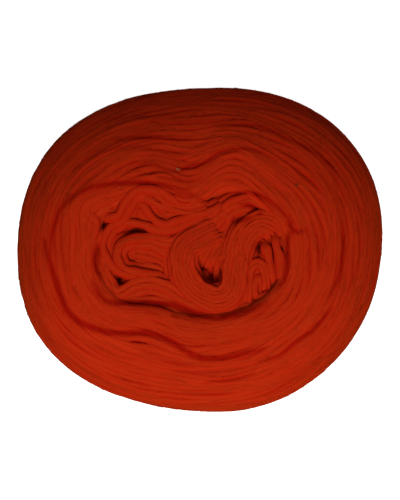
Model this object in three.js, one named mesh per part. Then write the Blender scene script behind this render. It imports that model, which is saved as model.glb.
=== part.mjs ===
// One plate of unspun wool: a soft wheel of carded, untwisted roving, wound turn on turn
// with no core, then squeezed a little out of round so that its eye has folded shut.
// Millimetres, +Z up. The plate lies on its underside, and the origin is on that plane,
// under the middle of its outline. +X runs along the longer way across the plate.

import * as THREE from "three";

// The plate as a whole.
const HALF_LENGTH = 99;
const HALF_WIDTH = 88;
const SQUARENESS = 2.25; // exponent of the superellipse, where 2 is a plain ellipse
const CROWN_HEIGHT = 56; // top of the turns, a little way out from the eye
const BULGE_HEIGHT = 24; // where the side stands out furthest
const REFERENCE_WIDTH = 51; // usual width of the wound ring, from the eye to the outline

// How the outline departs from the superellipse: waves round the rim, in millimetres.
const OUTLINE_WAVES = [
  { waves: 1, cosine: 0.1, sine: 0.7 },
  { waves: 2, cosine: 0.1, sine: 0.9 },
  { waves: 3, cosine: -0.7, sine: 0.8 },
  { waves: 4, cosine: 0.1, sine: 0.6 },
  { waves: 5, cosine: 0.4, sine: -0.1 },
];

// The eye that the turns were wound round, now an oval full of loose folds.
const EYE = { x: -4.5, y: -2.5, halfLength: 51, halfWidth: 34, squareness: 2.4 };
const EYE_LIP_HEIGHT = 55; // the innermost turn, a little under the crown
const EYE_BED_HEIGHT = 50; // the packed wool that the folds in the eye stand up from
const EYE_WALL_SHARE = 0.13; // share of the eye's radius over which its wall goes down
const UNDERSIDE_EYE_RISE = 4; // how far the eye stays off the ground underneath

// Section through the wound ring. A share is of the way out from the eye to the outline.
const CROWN_SHARE = 0.12;
const TOP_ROUNDNESS = 1.8; // superellipse exponent of the upper shoulder, a dome
const FLAT_SHARE = 0.56; // the underside is pressed flat out to here
const BOTTOM_ROUNDNESS = 2.3; // superellipse exponent of the lower shoulder
const SHOULDER_STEPS = 24; // points along each shoulder before it is divided into turns

// Each turn has three rows of points: its groove, then the two edges of its crest.
const TURNS = 18;
const ROWS_PER_TURN = 3;
const GROOVE_DEPTH = 1.3;
const UNEVENNESS = 0.5; // how far some turns stand proud and others sink

// On the top the turns don't run level with the outline. They wander in towards the eye and
// out again, by this many turns at each angle from +X towards +Y.
const WANDERING = [
  { angle: 0, inward: 0 },
  { angle: 60, inward: 0 },
  { angle: 95, inward: 0.3 },
  { angle: 112, inward: 0 },
  { angle: 128, inward: -0.5 },
  { angle: 158, inward: -0.6 },
  { angle: 174, inward: -0.9 },
  { angle: 190, inward: 0.3 },
  { angle: 206, inward: 0.5 },
  { angle: 218, inward: 1.2 },
  { angle: 232, inward: 1.9 },
  { angle: 250, inward: 2.3 },
  { angle: 265, inward: 1.9 },
  { angle: 280, inward: 1.1 },
  { angle: 304, inward: 1 },
  { angle: 324, inward: 0.7 },
  { angle: 345, inward: 0 },
  { angle: 360, inward: 0 },
];
const WANDER_STARTS = 8; // the turn on the side from which the wandering grows
const WANDER_IS_FULL = 13; // it dies away again from here to the lip of the eye

// Grooves that gape. Turn 0 is the lowest on the side, and angles run from +X towards +Y.
const GAPES = [
  { turn: 13, from: 172, to: 308, depth: 4.2 },
  { turn: 12, from: 296, to: 342, depth: 3 },
  { turn: 13, from: -20, to: 15, depth: 3.2 },
  { turn: 13, from: 12, to: 50, depth: 1.8 },
  { turn: 12, from: 14, to: 88, depth: 2 },
  { turn: 13, from: 88, to: 132, depth: 2.4 },
  { turn: 14, from: 86, to: 128, depth: 1.6 },
  { turn: 15, from: 56, to: 130, depth: 2.4 },
  { turn: 17, from: 86, to: 152, depth: 3.2 },
  { turn: 17, from: 15, to: 64, depth: 3.2 },
  { turn: 17, from: 192, to: 332, depth: 2.6 },
  { turn: 14, from: 146, to: 188, depth: 2.2 },
  { turn: 15, from: 170, to: 206, depth: 1.4 },
  { turn: 15, from: 260, to: 300, depth: 1.5 },
  { turn: 15, from: -15, to: 14, depth: 1.5 },
  { turn: 10, from: 172, to: 240, depth: 1.6 },
  { turn: 10, from: 290, to: 340, depth: 1.5 },
  { turn: 11, from: 264, to: 300, depth: 2.2 },
  { turn: 11, from: 88, to: 126, depth: 1.5 },
];

// Places on the top where the turns are pushed aside, and how far round the push reaches.
const PUSHES = [
  { x: -6, y: 38, dx: 0, dy: -9, reachX: 12, reachY: 20 },
  { x: 20, y: 42, dx: 0, dy: 7, reachX: 14, reachY: 18 },
  { x: -40, y: 38, dx: 0, dy: 3, reachX: 16, reachY: 14 },
  { x: -28, y: -44, dx: 0, dy: 6, reachX: 14, reachY: 14 },
  { x: -56, y: 21, dx: -7, dy: 4, reachX: 12, reachY: 12 },
];

// Folds in the eye: bundles of strands, each along a path as seen from above.
const FOLDS = [
  { name: "corner lip", width: 4.4, top: 55, path: [[-63.5, -4.5], [-59.5, 3], [-56, 9.5],
    [-56, 15], [-59.5, 19.5], [-59.5, 24], [-54.5, 26], [-47.5, 25.5], [-42, 25.5]] },
  { name: "bridge", width: 4.8, top: 56, path: [[-52.5, 18], [-47.5, 17], [-43.5, 18.5],
    [-41, 23.5], [-37.5, 28.5], [-33.5, 30.5], [-27.5, 31], [-21, 30], [-15, 26], [-9, 23]] },
  { name: "hump", width: 6, top: 54.5, path: [[-36.5, 24], [-32, 24.5], [-28, 22.5],
    [-24.5, 19.5], [-20.5, 16.5], [-16.5, 14.5], [-9.5, 16.5], [-3, 19], [4, 21.5],
    [10, 23.5], [14, 27]] },
  { name: "pit strand", width: 4.4, top: 53, path: [[-42.5, 9], [-43, 12], [-40, 14.5],
    [-35, 15], [-29.5, 13.5], [-23.5, 10.5], [-16.5, 9.5], [-10, 11.5], [-4.5, 14.5],
    [1.5, 17.5], [8, 22]] },
  { name: "left curve", width: 4.6, top: 53.5, path: [[-43.5, 14.5], [-49, 11], [-52, 5.5],
    [-51.5, -1], [-48.5, -7], [-44, -11.5], [-37.5, -14], [-29, -14.5]] },
  { name: "tongue", width: 5.4, top: 53, path: [[-11.5, 4], [-17, 5.5], [-24, 6],
    [-33.5, 5], [-39.5, 3.5], [-42, 0.5], [-42, -4.5], [-39.5, -9], [-35, -11],
    [-27.5, -12], [-18, -13.5]] },
  { name: "swag", width: 7, top: 54, path: [[-57, 0], [-55.5, -7], [-52.5, -13.5],
    [-49.5, -19.5], [-46.5, -24], [-41, -24.5], [-36, -21.5], [-29, -19.5], [-22.5, -20],
    [-16.5, -22.5], [-9.5, -27], [-2.5, -30], [4.5, -32]] },
  { name: "great turn", width: 12.5, top: 55.5, path: [[12.5, 12.5], [4, 8.5], [-4, 4.5],
    [-8.5, 0], [-9.5, -7], [-8, -14], [-4.5, -19.5], [1, -24], [7, -26.5], [13.5, -25.5],
    [17.5, -20.5], [18.5, -14], [19.5, -6], [21, 1.5], [24, 8.5], [28, 12.5], [33.5, 14.5],
    [39, 12.5], [43, 8]] },
  { name: "arch", width: 5.4, top: 53.5, path: [[25, -31], [25.5, -22.5], [26, -14],
    [27.8, -9], [31, -7], [34, -9.5], [35.2, -15.5], [35.6, -23.5]] },
  { name: "first upright", width: 4.4, top: 53.5, path: [[34.2, 6], [36.2, -2],
    [37.6, -11], [38.3, -20]] },
  { name: "second upright", width: 4.4, top: 54.5, path: [[39.6, 9.5], [41.6, 0],
    [42.9, -9.5], [43.6, -19.5]] },
  { name: "dive", width: 7.8, top: 52, path: [[17, 8.5], [11, 4.5], [6, -1], [2.5, -6],
    [0.5, -11]] },
  { name: "curl", width: 4.6, top: 53.5, path: [[14, 11.5], [15, 16.5], [18, 19.5],
    [22.5, 21], [27.5, 21.5], [29.5, 18]] },
  { name: "right arch", width: 5.2, top: 55, path: [[11, 18], [16.5, 24], [26, 27],
    [33, 24], [38.5, 18.5], [44.5, 12.5], [47, 4.5]] },
  { name: "sill", width: 6.6, top: 52.5, path: [[5.5, -33], [15, -33], [22.5, -31.5],
    [30.5, -29], [38.5, -26], [42, -24]] },
  { name: "closing strand", width: 4.4, top: 55.5, path: [[49.5, -15.5], [48.5, -22.5],
    [44.5, -30.5], [38.5, -36], [29.5, -39], [18.5, -40]] },
  { name: "fan", width: 5.2, top: 53.5, path: [[-27.5, 4.5], [-16.5, 2.5], [-8.5, 4.5],
    [-2.5, 8], [4, 12], [9.5, 16.5], [14, 21], [18, 25.5]] },
];
const FOLD_EDGE = 3.2; // a fold's edges come down over this width
const FOLD_POINTS = 60; // points along a fold's curve
const DIVE_LENGTH = 5; // a fold's ends go down into the eye over this length

// Hollows between the folds, where the eye can be seen into, and how far each reaches.
const PITS = [
  { name: "by the corner lip", x: -52, y: 13.7, reachX: 3.4, reachY: 2.8, depth: 8 },
  { name: "over the tongue", x: -36, y: 10, reachX: 6, reachY: 2.4, depth: 8 },
  { name: "left slot", x: -55.4, y: -7.4, reachX: 2.4, reachY: 6, depth: 7 },
  { name: "under the left curve", x: -44, y: -17, reachX: 3.4, reachY: 3, depth: 9 },
  { name: "great hole", x: 4, y: -15.6, reachX: 5, reachY: 3.6, depth: 11 },
  { name: "great hole, upper end", x: 1.6, y: -9, reachX: 3, reachY: 4, depth: 8 },
  { name: "great hole, right end", x: 10.5, y: -13, reachX: 2.6, reachY: 4, depth: 8 },
  { name: "in the curl", x: 23.4, y: 15.6, reachX: 4, reachY: 2.4, depth: 7 },
  { name: "over the curl", x: 30.4, y: 21, reachX: 3.4, reachY: 2.6, depth: 7 },
  { name: "foot of the uprights", x: 40.5, y: -20.6, reachX: 4.5, reachY: 2.6, depth: 8 },
  { name: "under the arches", x: 30, y: -26.4, reachX: 6, reachY: 2.2, depth: 6 },
  { name: "between the uprights", x: 31.5, y: 2, reachX: 2.4, reachY: 3.6, depth: 7 },
  { name: "beside the uprights", x: 38.3, y: -1, reachX: 2, reachY: 5, depth: 6 },
  { name: "right notch", x: 52.5, y: 9.4, reachX: 3.4, reachY: 2.4, depth: 7 },
  { name: "right wall crack", x: 46.4, y: -4, reachX: 1.8, reachY: 9, depth: 6 },
  { name: "lower left crease", x: -38, y: -29.5, reachX: 13, reachY: 2.2, depth: 5 },
  { name: "lower right crease", x: 14, y: -37, reachX: 17, reachY: 2.2, depth: 5 },
];

// How finely the surface is divided.
const OUTER_COLUMNS = 68;
const INNER_COLUMNS = 96; // round the turns nearest the eye
const INNER_COLUMNS_SHARE = 0.3;
const EYE_STEP = 2; // between points round a row in the eye
const EYE_ROWS = 21;
const LEAST_EYE_COLUMNS = 12;

const WOOL_COLOUR = 0xa62408;
const WOOL_ROUGHNESS = 0.95;

const smooth = (t) => THREE.MathUtils.smoothstep(t, 0, 1);

// Radius of a superellipse in the direction of an angle.
function superRadius(angle, halfLength, halfWidth, exponent) {
  const along = Math.abs(Math.cos(angle) / halfLength) ** exponent;
  const across = Math.abs(Math.sin(angle) / halfWidth) ** exponent;
  return (along + across) ** (-1 / exponent);
}

function outlinePoint(angle) {
  let radius = superRadius(angle, HALF_LENGTH, HALF_WIDTH, SQUARENESS);
  for (const { waves, cosine, sine } of OUTLINE_WAVES)
    radius += cosine * Math.cos(waves * angle) + sine * Math.sin(waves * angle);
  return new THREE.Vector2(radius * Math.cos(angle), radius * Math.sin(angle));
}

function eyePoint(angle) {
  const radius = superRadius(angle, EYE.halfLength, EYE.halfWidth, EYE.squareness);
  return new THREE.Vector2(EYE.x + radius * Math.cos(angle), EYE.y + radius * Math.sin(angle));
}

// The pushes fade out down the side, so the underside keeps its plain ovals.
function pushed(point, height) {
  const strength = smooth((height - BULGE_HEIGHT) / (EYE_LIP_HEIGHT - BULGE_HEIGHT));
  const moved = point.clone();
  for (const { x, y, dx, dy, reachX, reachY } of PUSHES) {
    const far = ((point.x - x) / reachX) ** 2 + ((point.y - y) / reachY) ** 2;
    moved.x += strength * dx * Math.exp(-far);
    moved.y += strength * dy * Math.exp(-far);
  }
  return moved;
}

// A quarter of a superellipse, as [across, up] from 0 to 1 each way.
function quarter(exponent, steps) {
  return Array.from({ length: steps + 1 }, (_, i) => {
    const turn = (i / steps) * (Math.PI / 2);
    return [Math.cos(turn) ** (2 / exponent), Math.sin(turn) ** (2 / exponent)];
  });
}

// The section of the wound ring above its flat underside, from the edge of the flat, round
// the side and over the crown, down to the lip of the eye. x is the distance from the eye
// on a ring of the reference width.
function ringSection() {
  const points = [];
  for (const [out, up] of quarter(BOTTOM_ROUNDNESS, SHOULDER_STEPS).reverse()) {
    const share = FLAT_SHARE + (1 - FLAT_SHARE) * out;
    points.push(new THREE.Vector2(share * REFERENCE_WIDTH, BULGE_HEIGHT * (1 - up)));
  }
  for (const [out, up] of quarter(TOP_ROUNDNESS, SHOULDER_STEPS).slice(1)) {
    const share = CROWN_SHARE + (1 - CROWN_SHARE) * out;
    const height = BULGE_HEIGHT + (CROWN_HEIGHT - BULGE_HEIGHT) * up;
    points.push(new THREE.Vector2(share * REFERENCE_WIDTH, height));
  }
  const dip = CROWN_HEIGHT - EYE_LIP_HEIGHT;
  for (const inward of [0.25, 0.5, 0.75, 1]) {
    const share = CROWN_SHARE * (1 - inward);
    points.push(new THREE.Vector2(share * REFERENCE_WIDTH, CROWN_HEIGHT - dip * inward ** 2));
  }
  return new THREE.SplineCurve(points);
}

// Where a turn lies on the top at an angle, counted in turns from the lowest on the side.
function wandered(turn, degrees) {
  const next = Math.max(1, WANDERING.findIndex(({ angle }) => angle >= degrees));
  const [before, after] = [WANDERING[next - 1], WANDERING[next]];
  const along = smooth((degrees - before.angle) / (after.angle - before.angle));
  const grown = smooth((turn - WANDER_STARTS) / (WANDER_IS_FULL - WANDER_STARTS));
  const left = smooth((TURNS - turn) / (TURNS - WANDER_IS_FULL));
  return turn + grown * left * THREE.MathUtils.lerp(before.inward, after.inward, along);
}

// How much further than usual a turn's groove opens at an angle, in millimetres.
function gape(turn, degrees) {
  let depth = 0;
  for (const g of GAPES) {
    if (g.turn !== turn) continue;
    for (const lap of [-360, 0]) {
      const along = (degrees + lap - g.from) / (g.to - g.from);
      if (along > 0 && along < 1) depth = Math.max(depth, g.depth * Math.sin(Math.PI * along));
    }
  }
  return depth;
}

// A closed row of points, each worked out from its angle.
function row(columns, pointAt) {
  return Array.from({ length: columns }, (_, i) => pointAt((2 * Math.PI * i) / columns));
}

function ringRows() {
  const section = ringSection();
  const count = TURNS * ROWS_PER_TURN;
  return Array.from({ length: count + 1 }, (_, i) => {
    const turn = Math.floor(i / ROWS_PER_TURN);
    const inGroove = i % ROWS_PER_TURN === 0 && i > 0 && i < count;
    const nearEye = section.getPointAt(i / count).x < INNER_COLUMNS_SHARE * REFERENCE_WIDTH;
    return row(nearEye ? INNER_COLUMNS : OUTER_COLUMNS, (angle) => {
      const degrees = THREE.MathUtils.radToDeg(angle);
      const way = wandered(i / ROWS_PER_TURN, degrees) / TURNS;
      const place = section.getPointAt(way);
      const tangent = section.getTangentAt(way);
      let inward = inGroove ? GROOVE_DEPTH + gape(turn, degrees) : 0;
      if (!inGroove && i > 0) {
        inward += UNEVENNESS * (1 + Math.sin(2.4 * turn + 1.8 * Math.sin(angle + turn)));
        inward *= Math.min(1, place.y / BULGE_HEIGHT);
      }
      const share = (place.x - inward * tangent.y) / REFERENCE_WIDTH;
      const height = Math.max(0, place.y + inward * tangent.x);
      const flat = eyePoint(angle).lerp(outlinePoint(angle), share);
      const { x, y } = pushed(flat, height);
      return new THREE.Vector3(x, y, height);
    });
  });
}

// A fold's curve with the distance along it at each of its points.
function laidOut({ width, top, path }) {
  const curve = new THREE.SplineCurve(path.map(([x, y]) => new THREE.Vector2(x, y)));
  return {
    top,
    points: curve.getSpacedPoints(FOLD_POINTS),
    length: curve.getLength(),
    half: width / 2,
  };
}
const laidFolds = FOLDS.map(laidOut);

// Height of the surface in the eye: its bed or the highest fold there, less the pits.
function eyeHeight(point, share) {
  const wall = smooth((share - (1 - EYE_WALL_SHARE)) / EYE_WALL_SHARE);
  let height = THREE.MathUtils.lerp(EYE_BED_HEIGHT, EYE_LIP_HEIGHT, wall);
  for (const { points, top, half, length } of laidFolds) {
    let nearest = Infinity;
    let along = 0;
    points.forEach((p, i) => {
      const distance = p.distanceTo(point);
      if (distance < nearest) {
        nearest = distance;
        along = (i / FOLD_POINTS) * length;
      }
    });
    const fromEnd = Math.min(along, length - along);
    const across = smooth((half + FOLD_EDGE / 3 - nearest) / FOLD_EDGE);
    const rise = across * smooth(0.35 + fromEnd / DIVE_LENGTH);
    height = Math.max(height, EYE_BED_HEIGHT + (top - EYE_BED_HEIGHT) * rise);
  }
  for (const { x, y, reachX, reachY, depth } of PITS) {
    const far = ((point.x - x) / reachX) ** 2 + ((point.y - y) / reachY) ** 2;
    height -= depth * (1 - wall) * Math.exp(-far);
  }
  return height;
}

function eyeRows() {
  const middle = new THREE.Vector2(EYE.x, EYE.y);
  return Array.from({ length: EYE_ROWS - 1 }, (_, i) => {
    const share = 1 - (i + 1) / EYE_ROWS;
    const girth = Math.PI * share * (EYE.halfLength + EYE.halfWidth);
    const columns = Math.max(LEAST_EYE_COLUMNS, Math.round(girth / EYE_STEP));
    return row(columns, (angle) => {
      const lip = pushed(eyePoint(angle), EYE_LIP_HEIGHT);
      const point = middle.clone().lerp(lip, share);
      return new THREE.Vector3(point.x, point.y, eyeHeight(point, share));
    });
  });
}

// The underside: the eye held just off the ground, then the turns pressed flat.
function undersideRows() {
  const middle = new THREE.Vector2(EYE.x, EYE.y);
  const at = (share, height) =>
    row(OUTER_COLUMNS, (angle) => {
      const point = middle.clone().lerp(eyePoint(angle), share);
      return new THREE.Vector3(point.x, point.y, height);
    });
  return [at(0.5, UNDERSIDE_EYE_RISE), at(0.85, UNDERSIDE_EYE_RISE), at(1, 0)];
}

// One closed surface over rows of different lengths, with a point to close each end.
function closedSurface(rows, firstTip, lastTip) {
  const positions = [];
  const faces = [];
  const put = ({ x, y, z }) => positions.push(x, y, z) / 3 - 1;
  const placed = rows.map((points) => points.map(put));
  const around = (ring, i) => ring[i % ring.length];
  for (let r = 1; r < placed.length; r += 1) {
    const [low, high] = [placed[r - 1], placed[r]];
    let [i, j] = [0, 0];
    while (i < low.length || j < high.length) {
      const stepLow = (i + 1) / low.length <= (j + 1) / high.length;
      if (stepLow) {
        faces.push(around(low, i), around(low, i + 1), around(high, j));
        i += 1;
      } else {
        faces.push(around(high, j), around(low, i), around(high, j + 1));
        j += 1;
      }
    }
  }
  const first = put(firstTip);
  const last = put(lastTip);
  const [start, end] = [placed[0], placed.at(-1)];
  start.forEach((p, i) => faces.push(first, around(start, i + 1), p));
  end.forEach((p, i) => faces.push(last, p, around(end, i + 1)));
  const geometry = new THREE.BufferGeometry();
  geometry.setAttribute("position", new THREE.Float32BufferAttribute(positions, 3));
  geometry.setIndex(faces);
  geometry.computeVertexNormals();
  return geometry;
}

// The waves and pushes move the outline a little, so its middle is brought back to X and Y 0.
function overOrigin(geometry) {
  geometry.computeBoundingBox();
  const middle = geometry.boundingBox.getCenter(new THREE.Vector3());
  return geometry.translate(-middle.x, -middle.y, 0);
}

function woolPlate() {
  const rows = [...undersideRows(), ...ringRows(), ...eyeRows()];
  const middle = new THREE.Vector2(EYE.x, EYE.y);
  const under = new THREE.Vector3(EYE.x, EYE.y, UNDERSIDE_EYE_RISE);
  const over = new THREE.Vector3(EYE.x, EYE.y, eyeHeight(middle, 0));
  const wool = new THREE.MeshStandardMaterial({
    color: WOOL_COLOUR,
    roughness: WOOL_ROUGHNESS,
    metalness: 0,
  });
  const mesh = new THREE.Mesh(overOrigin(closedSurface(rows, under, over)), wool);
  mesh.name = "wool_plate";
  return mesh;
}

const plate = new THREE.Group();
plate.name = "unspun_wool_plate";
plate.add(woolPlate());

export default plate;
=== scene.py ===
import bpy
import numpy as np
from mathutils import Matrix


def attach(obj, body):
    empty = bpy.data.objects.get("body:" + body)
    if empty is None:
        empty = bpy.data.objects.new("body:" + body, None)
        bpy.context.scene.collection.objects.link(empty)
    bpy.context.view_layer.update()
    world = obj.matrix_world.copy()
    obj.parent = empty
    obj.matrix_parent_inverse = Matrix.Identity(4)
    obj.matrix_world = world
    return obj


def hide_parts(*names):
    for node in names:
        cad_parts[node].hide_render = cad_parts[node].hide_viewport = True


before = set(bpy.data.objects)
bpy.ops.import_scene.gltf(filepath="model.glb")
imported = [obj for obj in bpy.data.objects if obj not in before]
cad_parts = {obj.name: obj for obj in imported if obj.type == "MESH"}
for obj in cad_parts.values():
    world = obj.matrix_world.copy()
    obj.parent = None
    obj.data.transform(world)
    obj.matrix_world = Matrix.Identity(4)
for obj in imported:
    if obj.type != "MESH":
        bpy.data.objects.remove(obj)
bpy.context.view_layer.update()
MM = 0.001
scene = bpy.context.scene

# The camera looks straight down on the plate, with the plate's +Y at the top of the picture,
# and is far enough away that the crown of the plate is drawn hardly larger than its side.
LENS_MM = 250
SENSOR_MM = 36
PICTURE_HEIGHT_MM = 271.5
SIDE_HEIGHT_MM = 24
CAMERA_ASIDE_MM = -0.25
SIGHT_END_M = 20
overhead = bpy.data.cameras.new("overhead")
overhead.lens = LENS_MM
overhead.sensor_width = SENSOR_MM
overhead.clip_end = SIGHT_END_M
camera = bpy.data.objects.new("overhead", overhead)
camera_height_mm = SIDE_HEIGHT_MM + PICTURE_HEIGHT_MM * LENS_MM / SENSOR_MM
camera.location = (CAMERA_ASIDE_MM * MM, 0, camera_height_mm * MM)
scene.collection.objects.link(camera)
scene.camera = camera
scene.view_settings.view_transform = "Standard"

# The light comes from one large panel, like a window, beyond the lower edge of the picture,
# and a white room fills the shadows. The panel itself is hidden from the camera.
PANEL_SIZE_MM = 1100
PANEL_PLACE_MM = (-35, -760, 895)
PANEL_WATTS = 17.3
ROOM_STRENGTH = 0.275
panel_light = bpy.data.lights.new("panel", "AREA")
panel_light.size = PANEL_SIZE_MM * MM
panel_light.energy = PANEL_WATTS
panel = bpy.data.objects.new("panel", panel_light)
panel.location = [v * MM for v in PANEL_PLACE_MM]
panel.rotation_euler = (-panel.location).to_track_quat("-Z", "Y").to_euler()
panel.visible_camera = False
scene.collection.objects.link(panel)
room = bpy.data.worlds.new("room")
room.use_nodes = True
room.node_tree.nodes["Background"].inputs["Color"].default_value = (1, 1, 1, 1)
room.node_tree.nodes["Background"].inputs["Strength"].default_value = ROOM_STRENGTH
scene.world = room


# The table is a plain white sheet, large enough for every view. It glows evenly, as a ground
# under strong studio lamps looks, and is kept out of the light that bounces, because it would
# light the rim of the plate from below.
class Signal:
    """A node socket that Python arithmetic works on: an expression adds the Math nodes."""

    def __init__(self, tree, socket=None):
        self.tree = tree
        self.socket = socket

    def make(self, kind, settings, inputs, output=0):
        """Adds a node of this kind, gives it its settings, then fills or links its sockets."""
        node = self.tree.nodes.new(kind)
        for name, value in settings.items():
            setattr(node, name, value)
        for key, value in inputs.items():
            if isinstance(value, Signal):
                self.tree.links.new(value.socket, node.inputs[key])
            else:
                node.inputs[key].default_value = value
        return Signal(self.tree, node.outputs[output])

    def math(self, operation, first, second=0.0):
        """One Math node on two numbers or signals."""
        return self.make("ShaderNodeMath", {"operation": operation}, {0: first, 1: second})

    def __add__(self, other):
        return self.math("ADD", self, other)

    def __radd__(self, other):
        return self.math("ADD", other, self)

    def __sub__(self, other):
        return self.math("SUBTRACT", self, other)

    def __rsub__(self, other):
        return self.math("SUBTRACT", other, self)

    def __mul__(self, other):
        return self.math("MULTIPLY", self, other)

    def __rmul__(self, other):
        return self.math("MULTIPLY", other, self)

    def mixed(self, low, high):
        """The colour low where this signal is 0, high where it is 1, and between them between."""
        return self.make(
            "ShaderNodeMix", {"data_type": "RGBA"}, {0: self, 6: low, 7: high}, output=2
        )

    def feed(self, node, name):
        """Links this signal to the socket of this name."""
        self.tree.links.new(self.socket, node.inputs[name])


def new_material(name):
    """A material with its Principled shader, and a place to start its signals from."""
    material = bpy.data.materials.new(name)
    material.use_nodes = True
    shader = material.node_tree.nodes["Principled BSDF"]
    return material, shader, Signal(material.node_tree)


def put_mesh(name, points_mm, triangles, material):
    """Puts arrays of points and of triangles into a new mesh object, smooth shaded."""
    mesh = bpy.data.meshes.new(name)
    mesh.from_pydata(points_mm.reshape(-1, 3) * MM, [], triangles.reshape(-1, 3))
    mesh.shade_smooth()
    mesh.materials.append(material)
    piece = bpy.data.objects.new(name, mesh)
    scene.collection.objects.link(piece)
    return piece


def grid_triangles(rows, columns, wrap):
    """Two triangles for each cell of a grid whose points are numbered row by row. With wrap,
    the last column joins the first."""
    row, column = np.meshgrid(
        np.arange(rows - 1), np.arange(columns if wrap else columns - 1), indexing="ij"
    )
    beside = (column + 1) % columns
    a, b = row * columns + column, row * columns + beside
    c, d = a + columns, b + columns
    return np.stack([a, b, d, a, d, c], -1).reshape(-1, 3)


TABLE_HALF_MM = 6000
TABLE_STEPS = 9
TABLE_GLOW = 0.85
across, up = np.meshgrid(*[np.linspace(-TABLE_HALF_MM, TABLE_HALF_MM, TABLE_STEPS)] * 2)
white, white_shader, start = new_material("white_table")
speckle = start.make("ShaderNodeTexNoise", {}, {"Scale": 40.0, "Detail": 2.0})
speckle.mixed((0.93, 0.93, 0.93, 1), (0.97, 0.97, 0.97, 1)).feed(white_shader, "Base Color")
white_shader.inputs["Roughness"].default_value = 0.9
white_shader.inputs["Emission Color"].default_value = (1, 1, 1, 1)
white_shader.inputs["Emission Strength"].default_value = TABLE_GLOW
table = put_mesh(
    "table",
    np.stack([across, up, np.zeros_like(across)], -1),
    grid_triangles(TABLE_STEPS, TABLE_STEPS, False),
    white,
)
table.visible_diffuse = False


# The packed wool under the outermost turns. It is the same carded wool, pressed together by
# the turns that were wound over it, and shows only as shade between the turns and at the
# bottom of the hollows in the eye. All sizes are in millimetres.
HALF_LENGTH = 99
HALF_WIDTH = 88
SQUARENESS = 2.25
MIDDLE = np.array([0.22, -0.32])
OUTLINE_WAVES = [(1, 0.1, 0.7), (2, 0.1, 0.9), (3, -0.7, 0.8), (4, 0.1, 0.6), (5, 0.4, -0.1)]
EYE_MIDDLE = np.array([-4.5, -2.5])
EYE_HALF_LENGTH = 51
EYE_HALF_WIDTH = 34
EYE_SQUARENESS = 2.4
EYE_LIP_HEIGHT = 55.2

# Where the turns were pushed out of their round: the middle of the place, the way they moved
# and how far the push reaches, each in x and y.
PUSHES = [
    (-6, 38, 0, -9, 12, 20),
    (20, 42, 0, 7, 14, 18),
    (-40, 38, 0, 3, 16, 14),
    (-28, -44, 0, 6, 14, 14),
    (-56, 21, -7, 4, 12, 12),
]


def smooth(t):
    """0 up to 0, 1 from 1, and 3 t squared less 2 t cubed between."""
    t = np.clip(t, 0, 1)
    return t * t * (3 - 2 * t)


def super_radius(angle, half_length, half_width, squareness):
    """Radius of a superellipse: the sum of the cosine over the half length and the sine over
    the half width, each to the power squareness, to the power minus one over squareness."""
    along = np.abs(np.cos(angle) / half_length) ** squareness
    beside = np.abs(np.sin(angle) / half_width) ** squareness
    return (along + beside) ** (-1 / squareness)


def towards(angle, radius):
    """The radius times the cosine and the sine of the angle."""
    return np.stack([np.cos(angle) * radius, np.sin(angle) * radius], -1)


def outline(angle):
    """A superellipse, plus a cosine and a sine of one to five times the angle."""
    radius = super_radius(angle, HALF_LENGTH, HALF_WIDTH, SQUARENESS)
    for waves, cosine, sine in OUTLINE_WAVES:
        radius = radius + cosine * np.cos(waves * angle) + sine * np.sin(waves * angle)
    return towards(angle, radius)


def eye_rim(angle):
    """A superellipse round the middle of the eye."""
    radius = super_radius(angle, EYE_HALF_LENGTH, EYE_HALF_WIDTH, EYE_SQUARENESS)
    return EYE_MIDDLE + towards(angle, radius)


def pushed(flat, height):
    """Adds each push times a bell curve round its middle, fading out from lip to side."""
    strength = smooth((height - SIDE_HEIGHT_MM) / (EYE_LIP_HEIGHT - SIDE_HEIGHT_MM))
    moved = flat.copy()
    for x, y, dx, dy, reach_x, reach_y in PUSHES:
        far = ((flat[..., 0] - x) / reach_x) ** 2 + ((flat[..., 1] - y) / reach_y) ** 2
        bell = strength * np.exp(-far)
        moved[..., 0] += dx * bell
        moved[..., 1] += dy * bell
    return moved


# The section of the wound ring as (share of the way from eye to outline, height), from the
# eye underneath, over the flat underside, round the side, over the crown and into the eye.
CROWN_HEIGHT = 56
CROWN_SHARE = 0.12
FLAT_SHARE = 0.56
RING_WIDTH = 51
SIDE_ROUNDNESS = 2.3
SHOULDER_ROUNDNESS = 1.8
quarter = np.linspace(0, np.pi / 2, 60)
low_out = np.sin(quarter) ** (2 / SIDE_ROUNDNESS)
low_up = np.cos(quarter) ** (2 / SIDE_ROUNDNESS)
high_out = np.cos(quarter) ** (2 / SHOULDER_ROUNDNESS)
high_up = np.sin(quarter) ** (2 / SHOULDER_ROUNDNESS)
dip = np.linspace(0, 1, 12)[1:]
section_share = np.concatenate([
    [-0.35, -0.12, 0.0, 0.2, 0.4],
    FLAT_SHARE + (1 - FLAT_SHARE) * low_out,
    CROWN_SHARE + (1 - CROWN_SHARE) * high_out[1:],
    CROWN_SHARE * (1 - dip),
    [-0.035, -0.06, -0.07, -0.075],
])
section_height = np.concatenate([
    [5.0, 4.0, 0.0, 0.0, 0.0],
    SIDE_HEIGHT_MM * (1 - low_up),
    SIDE_HEIGHT_MM + (CROWN_HEIGHT - SIDE_HEIGHT_MM) * high_up[1:],
    CROWN_HEIGHT - (CROWN_HEIGHT - EYE_LIP_HEIGHT) * dip**2,
    [54.0, 51.0, 46.0, 40.0],
])
steps = np.hypot(np.diff(section_share) * RING_WIDTH, np.diff(section_height))
section_travel = np.concatenate([[0], np.cumsum(steps)])
SIDE_START = section_travel[5]
LIP = section_travel[-5]
SECTION_END = section_travel[-1]


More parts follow.
